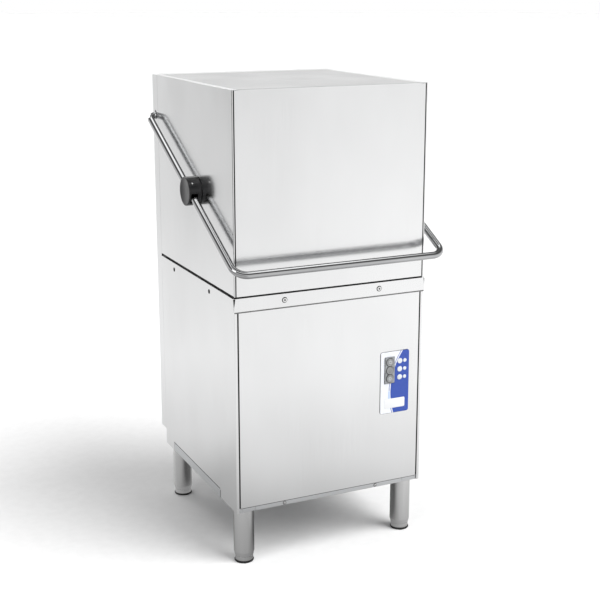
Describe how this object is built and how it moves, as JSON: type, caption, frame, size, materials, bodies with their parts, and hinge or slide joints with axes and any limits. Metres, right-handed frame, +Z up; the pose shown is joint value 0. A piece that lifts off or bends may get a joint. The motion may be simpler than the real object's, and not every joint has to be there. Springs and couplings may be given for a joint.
{
  "type": "hood dishwasher",
  "caption": "Pass-through hood washer for racks of glasses: lift-up steel hood with a wrap-around handle, wash tank, spray arms and pump in a cabinet on round legs.",
  "frame": {"origin": "on the floor, below the middle of the machine's box", "axes": "+Z up, +Y from the front to the rear column, +X to the right seen from the front"},
  "size_m": [0.7112, 0.779, 1.44],
  "materials": {
    "panel_steel": "brushed stainless sheet, fine grain",
    "inner_steel": "mill-finished stainless",
    "leg_steel": "satin stainless",
    "tube_steel": "polished stainless tube",
    "spring_steel": "oiled spring wire",
    "knob_black": "moulded, fine grain",
    "plastic_white": "moulded",
    "plastic_grey": "moulded",
    "rubber_black": "extruded rubber",
    "motor_alloy": "ribbed casting",
    "plate_film": "printed film",
    "button_grey": "satin metallic plastic",
    "lens_white": "translucent lens",
    "board_green": "coated board"
  },
  "bodies": {
    "cabinet": {"back_panel": "inner_steel", "base_frame": "inner_steel", "boiler": "inner_steel", "button_block": "button_grey", "cable_gland": "plastic_grey", "chamber_back_wall": "inner_steel", "collar_band": "panel_steel", "column_cover": "panel_steel", "column_shell": "panel_steel", "control_board": "board_green", "control_plate": "plate_film", "dosing_pump": "plastic_grey", "drain_pipe": "plastic_grey", "electrics_box": "inner_steel", "front_panel": "panel_steel", "guide_rails": "inner_steel", "heating_elements": "inner_steel", "hood_switch": "plastic_grey", "inlet_valve": "plastic_white", "lamp_lenses": "lens_white", "leg_tubes": "leg_steel", "lower_arm_post": "inner_steel", "panel_screws": "leg_steel", "pivot_brackets": "inner_steel", "pump_hoses": "rubber_black", "pump_housing": "plastic_grey", "pump_motor": "motor_alloy", "rack_rails": "inner_steel", "side_panel_left": "panel_steel", "side_panel_right": "panel_steel", "tank_filters": "inner_steel", "tank_rim": "inner_steel", "torsion_springs": "spring_steel", "wash_riser": "inner_steel", "wash_tank": "inner_steel"},
    "hood": {"hood_front_panel": "panel_steel", "hood_left_panel": "panel_steel", "hood_right_panel": "panel_steel", "hood_top_panel": "panel_steel", "hood_rim_frame": "inner_steel", "hood_seal": "rubber_black", "guide_shoes": "plastic_white", "knob_pins": "inner_steel"},
    "handle": {"handle_tube": "tube_steel", "pivot_shaft": "tube_steel"},
    "knob_left": {"knob_left": "knob_black"},
    "knob_right": {"knob_right": "knob_black"},
    "foot_front_left": {"foot_front_left": "leg_steel"},
    "foot_front_right": {"foot_front_right": "leg_steel"},
    "foot_rear_left": {"foot_rear_left": "leg_steel"},
    "foot_rear_right": {"foot_rear_right": "leg_steel"},
    "power_button": {"power_button": "button_grey"},
    "start_button": {"start_button": "button_grey"},
    "drain_button": {"drain_button": "button_grey"},
    "lower_wash_arm": {"lower_wash_arm": "inner_steel"},
    "upper_wash_arm": {"upper_wash_arm": "inner_steel"},
    "lower_rinse_arm": {"lower_rinse_arm": "inner_steel"},
    "upper_rinse_arm": {"upper_rinse_arm": "inner_steel"},
    "impeller": {"pump_impeller": "plastic_grey"},
    "overflow_pipe": {"overflow_pipe": "plastic_white"}
  },
  "joints": [
    {"name": "hood_lift", "type": "slide", "parent": "cabinet", "child": "hood", "axis": [0, 0, 1], "range_m": [0, 0.41]},
    {"name": "handle_swing", "type": "hinge", "parent": "cabinet", "child": "handle", "pos_m": [0, 0.3665, 1.309], "axis": [-1, 0, 0], "range_deg": [0, 57.4], "deforming": ["torsion_springs"]},
    {"name": "knob_left_turn", "type": "hinge", "parent": "hood", "child": "knob_left", "pos_m": [-0.3356, -0.0125, 1.1162], "axis": [-1, 0, 0], "range_deg": [0, 57.4]},
    {"name": "knob_right_turn", "type": "hinge", "parent": "hood", "child": "knob_right", "pos_m": [0.3356, -0.0125, 1.1162], "axis": [-1, 0, 0], "range_deg": [0, 57.4]},
    {"name": "foot_front_left_screw", "type": "slide", "parent": "cabinet", "child": "foot_front_left", "axis": [0, 0, -1], "range_m": [0, 0.03]},
    {"name": "foot_front_right_screw", "type": "slide", "parent": "cabinet", "child": "foot_front_right", "axis": [0, 0, -1], "range_m": [0, 0.03]},
    {"name": "foot_rear_left_screw", "type": "slide", "parent": "cabinet", "child": "foot_rear_left", "axis": [0, 0, -1], "range_m": [0, 0.03]},
    {"name": "foot_rear_right_screw", "type": "slide", "parent": "cabinet", "child": "foot_rear_right", "axis": [0, 0, -1], "range_m": [0, 0.03]},
    {"name": "power_press", "type": "slide", "parent": "cabinet", "child": "power_button", "axis": [0, 1, 0], "range_m": [0, 0.003], "stiffness_N_per_m": 400, "springref_m": -0.002},
    {"name": "start_press", "type": "slide", "parent": "cabinet", "child": "start_button", "axis": [0, 1, 0], "range_m": [0, 0.003], "stiffness_N_per_m": 400, "springref_m": -0.002},
    {"name": "drain_press", "type": "slide", "parent": "cabinet", "child": "drain_button", "axis": [0, 1, 0], "range_m": [0, 0.003], "stiffness_N_per_m": 400, "springref_m": -0.002},
    {"name": "lower_wash_arm_spin", "type": "hinge", "parent": "cabinet", "child": "lower_wash_arm", "pos_m": [0, 0.0355, 0.797], "axis": [0, 0, 1], "continuous": true},
    {"name": "lower_rinse_arm_spin", "type": "hinge", "parent": "cabinet", "child": "lower_rinse_arm", "pos_m": [0, 0.0355, 0.8225], "axis": [0, 0, 1], "continuous": true},
    {"name": "upper_wash_arm_spin", "type": "hinge", "parent": "cabinet", "child": "upper_wash_arm", "pos_m": [0, 0.0355, 1.373], "axis": [0, 0, 1], "continuous": true},
    {"name": "upper_rinse_arm_spin", "type": "hinge", "parent": "cabinet", "child": "upper_rinse_arm", "pos_m": [0, 0.0355, 1.3465], "axis": [0, 0, 1], "continuous": true},
    {"name": "impeller_spin", "type": "hinge", "parent": "cabinet", "child": "impeller", "pos_m": [0, 0.0715, 0.3], "axis": [1, 0, 0], "continuous": true},
    {"name": "overflow_lift", "type": "slide", "parent": "cabinet", "child": "overflow_pipe", "axis": [0, 0, 1], "range_m": [0, 0.34]}
  ],
  "couplings": [
    {"joint": "handle_swing", "follows": "hood_lift", "rad_per_m": 2.4392},
    {"joint": "knob_left_turn", "follows": "hood_lift", "rad_per_m": 2.4392},
    {"joint": "knob_right_turn", "follows": "hood_lift", "rad_per_m": 2.4392}
  ]
}
